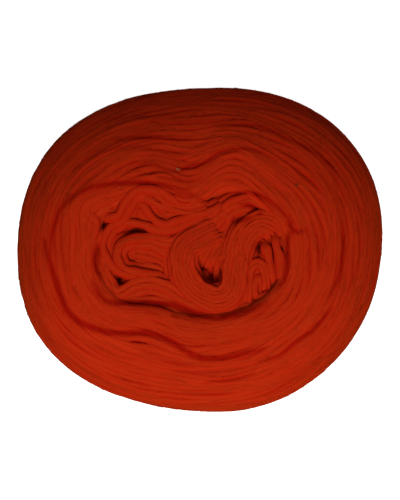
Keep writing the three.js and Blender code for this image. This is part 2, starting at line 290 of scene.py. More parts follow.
def on_plate(angle, travel, lift):
    """A point of the plate's surface: the section's point at this travel, at this angle round
    the plate, pushed as the turns are, and lifted along the surface's normal. Returns the
    point and the normal."""

    def surface(a, t):
        """Between eye and outline by the section's share, at the section's height."""
        share = np.interp(t, section_travel, section_share)[..., None]
        height = np.interp(t, section_travel, section_height)
        flat = pushed((1 - share) * eye_rim(a) + share * outline(a), height)
        return np.concatenate([flat - MIDDLE, height[..., None]], -1)

    angle, travel = np.broadcast_arrays(angle, travel)
    round_way = surface(angle + 0.01, travel) - surface(angle - 0.01, travel)
    over_way = surface(angle, travel + 0.8) - surface(angle, travel - 0.8)
    normal = np.cross(round_way, over_way)
    normal /= np.linalg.norm(normal, axis=-1, keepdims=True)
    return surface(angle, travel) + np.asarray(lift)[..., None] * normal, normal


# Creases between the turns, as name, width, depth and path as seen from above. They follow
# the larger gaps that the winding left between one layer of turns and the next.
CREASES = [
    ("under_eye", 2.2, 4.5, [(-57, -17.5), (-54, -23.5), (-49, -28), (-41, -28.5), (-30, -28.5),
        (-22, -29), (-13, -30), (-4.5, -33.5), (4.5, -36), (12, -36.5), (22, -34), (29.5, -31),
        (36, -28.5)]),
    ("left_swag", 2, 6, [(-84, 5.5), (-82, -2.5), (-78, -15), (-75, -24.5), (-71.5, -33),
        (-64.5, -39), (-57.5, -42), (-49, -44.5), (-39.5, -45), (-30, -44.5), (-23, -46),
        (-15, -49.5), (-7.5, -54.5), (0, -58), (6.5, -58.5), (15.5, -58), (25, -55.5),
        (33.5, -53.5)]),
    ("left_upper", 1.7, 3.4, [(-61, 33), (-66.5, 29.5), (-71, 26), (-75.5, 21), (-78, 14),
        (-80, 6.5), (-80.5, -3.5)]),
    ("over_hump", 1.8, 4, [(-73, 25), (-70, 28), (-65.5, 30), (-59, 33), (-49, 35),
        (-40, 35.5), (-30, 36), (-22, 35), (-16.5, 33), (-11, 30), (-5.5, 29.5)]),
    ("over_hump_deep", 1.6, 2.6, [(-15.5, 33), (-11, 30.5), (-6.5, 30), (-1, 27.5), (3.5, 25.5),
        (8, 25)]),
    ("brow", 1.6, 2.8, [(-47.5, 59), (-41, 59.5), (-31.5, 60), (-23, 60), (-16.5, 59.5),
        (-10, 59), (-3.5, 59.5)]),
    ("brow_low", 1.3, 1.6, [(-56.5, 51), (-52.5, 53), (-48, 54), (-42.5, 55), (-33, 55),
        (-24.5, 53.5), (-16.5, 52), (-8, 52.5), (-1.5, 54)]),
    ("dip", 1.5, 3, [(-37, 46), (-30, 46.5), (-24.5, 45.5), (-19, 43), (-15, 42), (-9.5, 43),
        (-3.5, 45), (3.5, 47), (9.5, 51.5), (16.5, 53.5), (24.5, 54), (33, 52), (41.5, 47.5)]),
    ("dip_low", 1.4, 2, [(-23, 39.5), (-17.5, 38), (-11, 37), (-4.5, 36.5), (0, 38)]),
    ("top_1", 1.2, 1.5, [(-48, 70), (-41, 71), (-33, 71.5), (-22, 71.5), (-11, 72.5), (-2, 73)]),
    ("top_2", 1.3, 1.7, [(-27.5, 68), (-21, 68), (-13.5, 68), (-5.5, 68.5), (1.5, 69.5),
        (7, 70.5)]),
    ("top_right", 1.4, 2.8, [(6.5, 68), (13.5, 67), (22, 67), (28.5, 67), (35.5, 65.5),
        (46.5, 60), (57.5, 54.5), (66.5, 48), (72, 40), (76, 31.5), (78, 23)]),
    ("shoulder", 1.3, 1.6, [(49, 51.5), (56.5, 47), (63.5, 41), (69.5, 34.5), (74, 27),
        (76, 18.5)]),
    ("arch_crack", 1.5, 4.4, [(15.5, 28), (18.5, 29.5), (22, 30.5), (28.5, 30), (34, 28),
        (39.5, 24), (45, 19), (49.5, 14)]),
    ("right_crack", 1.5, 4.2, [(76.5, 15.5), (77, 7.5), (77, 0), (76, -7.5), (74.5, -15),
        (71.5, -21.5), (69, -26)]),
    ("right_outer", 1.2, 1.6, [(84.5, 15.5), (86, 7.5), (86, -1), (84.5, -10), (82, -18.5)]),
    ("low_right", 1.6, 4, [(31.5, -60.5), (37, -59), (42, -57.5), (47, -53.5), (52.5, -49),
        (59, -44.5), (65.5, -38), (71, -31.5)]),
    ("low_line", 1.3, 3.2, [(2, -71.5), (7, -71), (13.5, -70.5), (22, -69), (29.5, -67)]),
    ("low_line_2", 1.2, 1.4, [(-15.5, -64.5), (-8, -66), (0, -66.5), (8, -66), (17.5, -65),
        (26, -63)]),
    ("low_line_3", 1.2, 1.3, [(-4.5, -77.5), (2, -78), (10, -78), (18.5, -77)]),
    ("low_left_1", 1.2, 1.5, [(-61, -50.5), (-55.5, -53), (-49, -55.5), (-41.5, -58),
        (-33, -59)]),
    ("low_left_2", 1.2, 1.5, [(-33, -54.5), (-25.5, -57), (-18.5, -59), (-11, -61),
        (-3.5, -61.5)]),
    ("low_middle", 1.2, 1.5, [(-7.5, -49), (-2, -51), (4.5, -51.5), (12, -50.5), (19.5, -48.5)]),
    ("outer_low_left", 1.3, 1.6, [(-89.5, -35), (-85, -42.5), (-80.5, -50.5), (-74.5, -57),
        (-67, -62.5), (-59, -67), (-49, -71)]),
    ("outer_low_right", 1.3, 1.5, [(34, -77), (42.5, -74), (51.5, -69), (60, -63), (68, -55),
        (75, -47), (81, -38)]),
    ("left_line_1", 1.2, 1.6, [(-94.5, 5.5), (-94, -2.5), (-92.5, -13.5), (-89.5, -24),
        (-85, -35)]),
    ("left_line_2", 1.2, 1.4, [(-89.5, 8), (-89, -1), (-87.5, -11), (-84, -22), (-79, -33.5)]),
    ("upper_left_1", 1.2, 1.3, [(-89.5, 19.5), (-87, 28.5), (-82, 37), (-76, 45),
        (-68.5, 51.5)]),
    ("upper_left_2", 1.2, 1.3, [(-84.5, 15.5), (-82, 24.5), (-77, 33), (-70.5, 40.5),
        (-63.5, 46.5), (-57, 50.5)]),
    ("inner_left", 1.2, 1.4, [(-74.5, 7.5), (-74, -1), (-72, -11), (-69, -19.5),
        (-64.5, -27.5)]),
    ("right_inner", 1.2, 1.5, [(64.5, 13), (65.5, 5.5), (65.5, -3.5), (64, -12)]),
    ("right_inner_2", 1.2, 1.2, [(56.5, 2), (57.5, -4.5), (57, -12), (54.5, -19.5)]),
    ("right_notch", 1.6, 4, [(46, 15.5), (48.5, 12), (52, 9.4), (56.5, 10.5)]),
    ("right_wall", 1.7, 5, [(49, 11), (46.8, 5), (46.4, -2), (46.5, -9), (45.2, -15.5),
        (41.5, -21)]),
    ("left_slot", 1.6, 5, [(-54.3, 3), (-55.6, -3.5), (-55.5, -9.5), (-52.8, -15.5)]),
    ("curl_top", 1.5, 4.5, [(21, 24), (26, 23.5), (30, 21.5), (33, 18.5)]),
    ("curl_hollow", 1.6, 4.5, [(18.5, 15), (23, 16.2), (28, 16.5)]),
]


def through(path, count):
    """A smooth curve through the path's points, by the Catmull-Rom rule: between two points
    it is a cubic whose slope at each is half the step between that point's neighbours.
    Returns count points, evenly spaced."""
    p = np.asarray(path, float)
    p = np.concatenate([[2 * p[0] - p[1]], p, [2 * p[-1] - p[-2]]])
    t = np.linspace(0, len(path) - 1, 40 * len(path))
    i = np.minimum(t.astype(int), len(path) - 2)
    f = (t - i)[:, None]
    a, b, c, d = p[i], p[i + 1], p[i + 2], p[i + 3]
    curve = b + 0.5 * f * (c - a + f * (2 * a - 5 * b + 4 * c - d + f * (3 * (b - c) + d - a)))
    travelled = np.concatenate([[0], np.cumsum(np.linalg.norm(np.diff(curve, axis=0), axis=1))])
    even = np.linspace(0, travelled[-1], count)
    return np.stack([np.interp(even, travelled, curve[:, k]) for k in range(p.shape[1])], -1)


MAP_STEP = 0.6
MAP_HALF = 108
CREASE_NARROWING = 0.7
CREASE_STRENGTH = 0.26
CREASE_FLOOR = 28
CREASE_FADE = 12
map_line = np.arange(-MAP_HALF, MAP_HALF + MAP_STEP, MAP_STEP)
map_y, map_x = np.meshgrid(map_line, map_line, indexing="ij")
crease_map = np.zeros_like(map_x)
for _, width, deepest, path in CREASES:
    line = through(path, 6 * len(path)) - MIDDLE
    fade = np.sin(np.linspace(0.12, np.pi - 0.12, len(line))) ** 0.5
    near = np.full(map_x.shape, 1e9)
    depth = np.zeros(map_x.shape)
    for (x, y), strength in zip(line, fade):
        far = (map_x - x) ** 2 + (map_y - y) ** 2
        depth = np.where(far < near, strength, depth)
        near = np.minimum(near, far)
    bell = np.exp(-near / (CREASE_NARROWING * width) ** 2)
    crease_map = np.maximum(crease_map, CREASE_STRENGTH * deepest * depth * bell)


def crease_depth(points):
    """How deep each point lies in a crease, from the map: a bell curve of the distance to
    the nearest crease, blended between the map's four nearest places. Low on the side of the
    plate the creases fade out."""
    column = np.clip((points[..., 0] + MAP_HALF) / MAP_STEP, 0, len(map_line) - 2)
    row = np.clip((points[..., 1] + MAP_HALF) / MAP_STEP, 0, len(map_line) - 2)
    c, r = column.astype(int), row.astype(int)
    f, g = column - c, row - r
    near_side = crease_map[r, c] * (1 - f) + crease_map[r, c + 1] * f
    far_side = crease_map[r + 1, c] * (1 - f) + crease_map[r + 1, c + 1] * f
    fading = smooth((points[..., 2] - CREASE_FLOOR) / CREASE_FADE)
    return (near_side * (1 - g) + far_side * g) * fading


CORE_DEPTH = 3.4
CORE_COLUMNS = 140
CORE_ROWS = 90
angle = np.linspace(0, 2 * np.pi, CORE_COLUMNS, endpoint=False)[None, :]
travel = np.linspace(0, SECTION_END, CORE_ROWS)[:, None]
core_points, core_ups = on_plate(angle, travel, -CORE_DEPTH)
core_points -= crease_depth(core_points)[..., None] * core_ups

# The bed of the eye closes the packed wool above and below, with hollows between the folds.
# Rows of the table are a hollow's middle, its reach each way and its depth.
PITS = [
    (-52, 13.7, 3.4, 2.8, 10),
    (-36, 10, 6, 2.4, 8),
    (-55.4, -7.4, 2.4, 6, 8),
    (-44, -17, 3.4, 3, 11),
    (5, -15.8, 4.6, 3, 10),
    (1.2, -9.5, 2, 4, 9),
    (11, -12.5, 1.8, 3.6, 9),
    (23.4, 15.6, 4, 2.4, 8),
    (30.4, 21, 3.4, 2.6, 8),
    (40.5, -20.6, 4.5, 2.6, 9),
    (30, -26.4, 6, 2.2, 7),
    (31.5, 2, 2.4, 3.6, 8),
    (38.3, -1, 2, 5, 7),
    (52.5, 9.4, 3.4, 2.4, 8),
    (46.4, -4, 1.8, 9, 7),
    (-38, -29.5, 13, 2.2, 3),
    (14, -38, 17, 2.2, 3),
]
EYE_BED_HEIGHT = 48.5
UNDERSIDE_EYE_SHARE = 0.62
UNDERSIDE_EYE_HEIGHT = 6.5
EYE_ROWS = 60


def eye_bed(angle, share):
    """A height over the eye: level, less each hollow's bell curve, in rows that shrink the
    pushed rim towards the middle of the eye by the share."""
    rim = pushed(eye_rim(angle), np.full(angle.shape, float(EYE_LIP_HEIGHT)))
    flat = EYE_MIDDLE + share[..., None] * (rim - EYE_MIDDLE)
    height = np.full(angle.shape, EYE_BED_HEIGHT)
    for x, y, reach_x, reach_y, depth in PITS:
        far = ((flat[..., 0] - x) / reach_x) ** 2 + ((flat[..., 1] - y) / reach_y) ** 2
        height = height - depth * np.exp(-far)
    height = height - 6 * smooth((share - 0.93) / 0.12)
    return np.concatenate([flat - MIDDLE, height[..., None]], -1)


angles, share = np.broadcast_arrays(angle, np.linspace(1.05, 0.01, EYE_ROWS)[:, None])
over_points = eye_bed(angles, share)
under_points = over_points[::-1].copy()
under_points[..., :2] = EYE_MIDDLE - MIDDLE + (
    share[::-1][..., None] * UNDERSIDE_EYE_SHARE * (eye_rim(angles) - EYE_MIDDLE)
)
under_points[..., 2] = UNDERSIDE_EYE_HEIGHT
shell = np.concatenate([under_points, core_points, over_points])
# The packed wool is painted a stronger red with less green than the turns: painted light, for the
# red light that bounces between the strands down in the gaps and hollows.
deep_wool_painted_bounce, deep_shader, start = new_material("deep_wool_painted_bounce")
where = start.make("ShaderNodeTexCoord", {}, {}, output="Object")
mottle = start.make("ShaderNodeTexNoise", {}, {"Vector": where, "Scale": 400.0, "Detail": 3.0})
mottle.mixed((0.36, 0.007, 0.0012, 1), (0.5, 0.012, 0.002, 1)).feed(deep_shader, "Base Color")
deep_shader.inputs["Roughness"].default_value = 0.95
deep_shader.inputs["Specular IOR Level"].default_value = 0.0
core = put_mesh("packed_wool", shell, grid_triangles(len(shell), CORE_COLUMNS, True), deep_wool_painted_bounce)


def wound_on(piece):
    """The piece is part of the plate of wool: it stands for the solid and goes where it goes."""
    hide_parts("wool_plate")
    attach(piece, "root")


wound_on(core)


# The turns of roving that show: one unbroken length of carded, untwisted wool, wound in a
# spiral across the underside, up the side and over the crown to the lip of the eye. Each turn
# is soft and a little flattened, and nothing but its neighbours holds it.
TURN_PITCH = 2.95
SIDE_PITCH = 3.0
TURN_HALF_WIDTH = 2.5
TURN_HALF_HEIGHT = 1.2
TURN_STEPS = 330
TURN_SIDES = 10
UNDERSIDE_PITCH = 3.2
UNDERSIDE_HALF_WIDTH = 2.2
UNDERSIDE_HALF_HEIGHT = 1.3
UNDERSIDE_STEPS = 210
UNDERSIDE_SIDES = 8
HALFWAY = SIDE_START + 50
OVERLAP = 3
GROUND_GAP = 0.05
DRIFT_WAVES = [
    (2, 0.10, 0.9, 0.4), (3, 0.21, 0.8, 2.1), (5, 0.34, 0.55, 4.0),
    (8, 0.50, 0.35, 1.2), (13, 0.85, 0.22, 5.1),
]


def wander(distance, lengths, size, rng):
    """A sum of sines of these wave lengths along each strand, each with its own phase."""
    total = np.zeros_like(distance)
    for length in lengths:
        phase = rng.uniform(0, 2 * np.pi, (len(distance), 1))
        total += np.sin(2 * np.pi * distance / length + phase)
    return size * total / len(lengths) ** 0.5


def drift(angle, travel):
    """How far a turn strays from its place: sines of the angle whose phase moves slowly from
    turn to turn, so that neighbours stray together and crowd in some places. Rows of the
    waves are how many in a turn, how fast the phase moves, the size and the first phase."""
    total = 0
    for waves, twist, size, phase in DRIFT_WAVES:
        total = total + size * np.sin(waves * angle + twist * travel + phase)
    return total


def swell(angle, travel):
    """Low ridges and hollows that run along the turns: sines as in the drift."""
    return (
        0.14 * np.sin(2 * angle + 0.42 * travel + 1.0)
        + 0.13 * np.sin(3 * angle - 0.63 * travel + 2.7)
        + 0.1 * np.sin(5 * angle + 1.05 * travel + 0.3)
    )


def strands(
    name, centres, ups, half_width, half_height, tone, sides, material, dent=1.0, softness=1.3
):
    """An oval profile carried along many paths at once: at each point of a path, the profile
    is a cosine times the half width sideways plus a sine times the half height upwards. The
    ends shrink to points, and the creases of the plate dent the strands by their depth times
    the dent. The texture map runs in tenths of a metre along and once round. The attribute
    nook is 0 on top of a strand and 1 where it meets the next, and crease is 1 deep in a
    crease; the material paints shade by both. The attribute lie is the upward direction
    times the softness."""
    count, steps, _ = centres.shape
    half_width = np.broadcast_to(half_width, (count, steps))
    half_height = np.broadcast_to(half_height, (count, steps))
    along = np.gradient(centres, axis=1)
    lengths = np.linalg.norm(along, axis=-1)
    along /= lengths[..., None]
    sideways = np.cross(along, ups)
    sideways /= np.linalg.norm(sideways, axis=-1, keepdims=True)
    upward = np.cross(sideways, along)
    turn = 2 * np.pi * np.arange(sides) / sides
    wide = half_width[..., None, None] * np.cos(turn)[:, None] * sideways[:, :, None]
    high = half_height[..., None, None] * np.sin(turn)[:, None] * upward[:, :, None]
    points = centres[:, :, None] + wide + high
    crease = crease_depth(points)
    points = points - dent * crease[..., None] * ups[:, :, None]
    points[..., 2] = np.maximum(points[..., 2], GROUND_GAP)
    triangles = grid_triangles(steps, sides, True)
    fan = np.arange(sides)
    beside = (fan + 1) % sides
    last = (steps - 1) * sides
    first_tip, last_tip = steps * sides, steps * sides + 1
    caps = np.concatenate([
        np.stack([np.full(sides, first_tip), beside, fan], -1),
        np.stack([np.full(sides, last_tip), last + fan, last + beside], -1),
    ])
    tips = centres[:, [0, -1]]
    tips[..., 2] = np.maximum(tips[..., 2], 2 * GROUND_GAP)
    each = np.concatenate([points.reshape(count, -1, 3), tips], 1)
    faces = np.concatenate([triangles, caps])
    offset = np.arange(count)[:, None, None] * each.shape[1]
    piece = put_mesh(name, each, faces[None] + offset, material)
    mesh = piece.data
    travelled = np.cumsum(lengths, axis=1) / 100
    row, column = np.divmod(np.minimum(faces, last + sides - 1), sides)
    seam = (column == 0) & (column.max(1, keepdims=True) == sides - 1)
    round_way = np.where(seam, sides, column) / sides
    texture = np.empty((count, *faces.shape, 2))
    texture[..., 0] = travelled[:, row]
    texture[..., 1] = round_way
    mesh.uv_layers.new(name="strand").data.foreach_set("uv", texture.ravel())
    shade = mesh.attributes.new("tone", "FLOAT", "POINT")
    rings = np.repeat(np.broadcast_to(tone, (count, steps)), sides, axis=1)
    tones = np.concatenate([rings, rings[:, [0, -1]]], 1)
    shade.data.foreach_set("value", tones.astype(np.float32).ravel())
    # Masks for painted shade: nook where one strand meets the next, crease deep in a crease.
    nook = np.broadcast_to(1 - smooth(2 * np.sin(turn) - 1), crease.shape)
    for layer, values in (("nook", nook), ("crease", np.minimum(crease / 0.7, 1))):
        values = np.concatenate([values.reshape(count, -1), np.zeros((count, 2))], 1)
        extra = mesh.attributes.new(layer, "FLOAT", "POINT")
        extra.data.foreach_set("value", values.astype(np.float32).ravel())
    leaning = np.repeat(softness * ups, sides, axis=1)
    leaning = np.concatenate([leaning, leaning[:, [0, -1]]], 1)
    lie = mesh.attributes.new("lie", "FLOAT_VECTOR", "POINT")
    lie.data.foreach_set("vector", leaning.astype(np.float32).ravel())
    return piece


# The dark red painted deep in the creases: painted shade.
PAINTED_CREASE_SHADE = (0.24, 0.0022, 0.0008, 1)


# The last colour, between, is painted shade: the darker red where two strands meet.
def wool(name, deep, mid, pale, between):
    """Carded wool: streaks of fibre along the strand shift the colour and raise the surface.
    Where two strands meet, the colour is painted a darker, deeper red, as painted shade for
    the light that has gone through much wool there, and deep in a crease a still darker red,
    also painted shade. A strand lets light through, so it shades as if it were flatter: its
    normal is the sum of its own and its lie, made one long."""
    material, shader, start = new_material(name)
    place = start.make("ShaderNodeUVMap", {"uv_map": "strand"}, {})
    tone = start.make("ShaderNodeAttribute", {"attribute_name": "tone"}, {}, output="Fac")
    shift = start.make("ShaderNodeCombineXYZ", {}, {"X": tone * 37.0, "Z": tone * 91.0})
    own = start.make("ShaderNodeVectorMath", {"operation": "ADD"}, {0: place, 1: shift})

    def streaks(along, around, detail):
        """Noise on the strand's own map, stretched by these scales along and around it."""
        scaled = start.make(
            "ShaderNodeVectorMath", {"operation": "MULTIPLY"}, {0: own, 1: (along, around, 1)}
        )
        noise = {"Vector": scaled, "Scale": 1.0, "Detail": detail, "Roughness": 0.6}
        return start.make("ShaderNodeTexNoise", {}, noise)

    coarse = streaks(6.0, 7.0, 2.0)
    fine = streaks(16.0, 26.0, 3.0)
    where = start.make("ShaderNodeTexCoord", {}, {}, output="Object")
    broad = start.make("ShaderNodeTexNoise", {}, {"Vector": where, "Scale": 35.0, "Detail": 2.0})
    mix = 0.5 + (coarse - 0.5) * 0.5 + (fine - 0.5) * 0.6 + (tone - 0.5) * 0.4
    mix = mix + (broad - 0.5) * 0.5
    low = (mix * 2.0).mixed(deep, mid)
    surface = (mix * 2.0 - 1.0).mixed(low, pale)
    nook = start.make("ShaderNodeAttribute", {"attribute_name": "nook"}, {}, output="Fac")
    # Painted shade: a darker red where two strands meet, and darker still deep in a crease.
    wool_with_painted_shade = (nook * 0.95).mixed(surface, between)
    crease = start.make("ShaderNodeAttribute", {"attribute_name": "crease"}, {}, output="Fac")
    (crease * 0.9).mixed(wool_with_painted_shade, PAINTED_CREASE_SHADE).feed(shader, "Base Color")
    relief = coarse * 0.6 + fine * 0.6
    round_normal = start.make("ShaderNodeNewGeometry", {}, {}, output="Normal")
    lie = start.make("ShaderNodeAttribute", {"attribute_name": "lie"}, {}, output="Vector")
    leaned = start.make("ShaderNodeVectorMath", {"operation": "ADD"}, {0: round_normal, 1: lie})
    soft_normal = start.make("ShaderNodeVectorMath", {"operation": "NORMALIZE"}, {0: leaned})
    raised = {"Height": relief, "Strength": 0.3, "Distance": 0.0006, "Normal": soft_normal}
    bump = start.make("ShaderNodeBump", {}, raised, "Normal")
    bump.feed(shader, "Normal")
    shader.inputs["Roughness"].default_value = 0.95
    shader.inputs["Specular IOR Level"].default_value = 0.0
    shader.inputs["Sheen Weight"].default_value = 0.07
    shader.inputs["Sheen Roughness"].default_value = 0.5
    shader.inputs["Sheen Tint"].default_value = (1.0, 0.3, 0.02, 1)
    return material


roving = wool(
    "roving", (0.347, 0.0122, 0.0025, 1), (0.367, 0.0165, 0.003, 1), (0.387, 0.021, 0.0036, 1),
    (0.31, 0.0066, 0.0016, 1),
)


def lay_turns(name, first_travel, last_travel, pitch, half_width, half_height, steps, sides, seed):
    """A spiral over the section from the first travel to the last: each full turn climbs by
    the pitch, strays by the drift and by its own wander, and rides the swell. Where a slow
    sum of sines is high the strand sinks a little between its neighbours."""
    rng = np.random.default_rng(seed)
    count = (last_travel - first_travel) / pitch
    turn = np.linspace(0, count, int(count * steps))[None, :]
    angle = 2 * np.pi * turn
    travel = first_travel + pitch * turn
    straying = smooth((travel - SIDE_START - 2) / 10) * smooth((SECTION_END - travel) / 8)
    travel = travel + straying * (drift(angle, travel) + own_wander(turn, 0.35, rng))
    sunk = 0.22 * smooth((own_wander(turn, 1.0, rng) - 0.6) / 0.8)
    rise = own_wander(turn, 0.08, rng) - sunk
    lift = surface_lift(angle, travel) + straying * rise - half_height
    centres, ups = on_plate(angle, travel, lift)
    wide = half_width * (1 + own_wander(turn, 0.13, rng))
    high = half_height * (1 + own_wander(turn, 0.1, rng))
    tone = 0.5 + own_wander(turn, 0.2, rng)
    return strands(name, centres, ups, wide, high, tone, sides, roving)


def surface_lift(angle, travel):
    """How far the turns' tops stand off the plate's form: the swell, less a little, and
    nothing where the plate lies on the ground."""
    clear = smooth((travel - SIDE_START - 2) / 14)
    return clear * (swell(angle, travel) - 0.4)


def own_wander(turn, size, rng):
    """Smooth noise along the whole spiral: sines with one to twelve waves in a turn."""
    total = np.zeros_like(turn)
    for waves in (1.37, 2.83, 4.91, 7.73, 11.9):
        total = total + np.sin(2 * np.pi * waves * turn + rng.uniform(0, 2 * np.pi))
    return size * total / 5**0.5


side_turns = lay_turns(
    "side_turns", SIDE_START - OVERLAP, HALFWAY, SIDE_PITCH, TURN_HALF_WIDTH, TURN_HALF_HEIGHT,
    TURN_STEPS, TURN_SIDES, seed=3,
)
top_turns = lay_turns(
    "top_turns", HALFWAY - OVERLAP, SECTION_END, TURN_PITCH, TURN_HALF_WIDTH, TURN_HALF_HEIGHT,
    TURN_STEPS, TURN_SIDES, seed=5,
)
underside_turns = lay_turns(
    "underside_turns", 0, SIDE_START, UNDERSIDE_PITCH, UNDERSIDE_HALF_WIDTH,
    UNDERSIDE_HALF_HEIGHT, UNDERSIDE_STEPS, UNDERSIDE_SIDES, seed=7,
)
for piece in (side_turns, top_turns, underside_turns):
    wound_on(piece)


# Turns of the same roving that have worked loose. Each lies across its neighbours for part
# of the way round, where the winding let it slip, and dives back among them at both ends.
LOOSE_TURNS = 40
LOOSE_STEPS = 140
LOOSE_SIDES = 9
MEAN_RADIUS = 75
TUCK_DEPTH = 3.2
TUCK_LENGTH = 12
TAPER_LENGTH = 9
rng = np.random.default_rng(21)
span = rng.uniform(0.5, 2.4, (LOOSE_TURNS, 1))
t = np.linspace(0, 1, LOOSE_STEPS)[None, :]
angle = rng.uniform(0, 2 * np.pi, (LOOSE_TURNS, 1)) + span * t
travel = rng.uniform(SIDE_START + 14, LIP - 1, (LOOSE_TURNS, 1))
travel = travel + rng.normal(0, 2.2, (LOOSE_TURNS, 1)) * (t - 0.5) * span
travel = travel + drift(angle, travel)
distance = span * t * MEAN_RADIUS
travel += wander(distance, (31, 67, 120), 0.6, rng)
from_end = np.minimum(t, 1 - t) * span * MEAN_RADIUS
tuck = TUCK_DEPTH * (1 - smooth(from_end / TUCK_LENGTH))
loose_high = TURN_HALF_HEIGHT * (1 + wander(distance, (13, 29, 53), 0.12, rng))
lift = surface_lift(angle, travel) + rng.uniform(-0.3, 0.1, (LOOSE_TURNS, 1)) - loose_high - tuck
centres, ups = on_plate(angle, travel, lift + 0.3)
loose_wide = rng.uniform(1.1, 1.8, (LOOSE_TURNS, 1)) * (1 + wander(distance, (17, 41), 0.14, rng))
thin = 0.3 + 0.7 * smooth(from_end / TAPER_LENGTH)
loose_turns = strands(
    "loose_turns", centres, ups, loose_wide * thin, loose_high * thin,
    rng.random((LOOSE_TURNS, 1)), LOOSE_SIDES, roving,
)
wound_on(loose_turns)


# The folds of the eye: the innermost turns of the same roving, which slipped inwards when the
# plate was squeezed and buckled against each other. Each fold is a few strands side by side,
# resting on like strands below, and only the turns around them hold them.

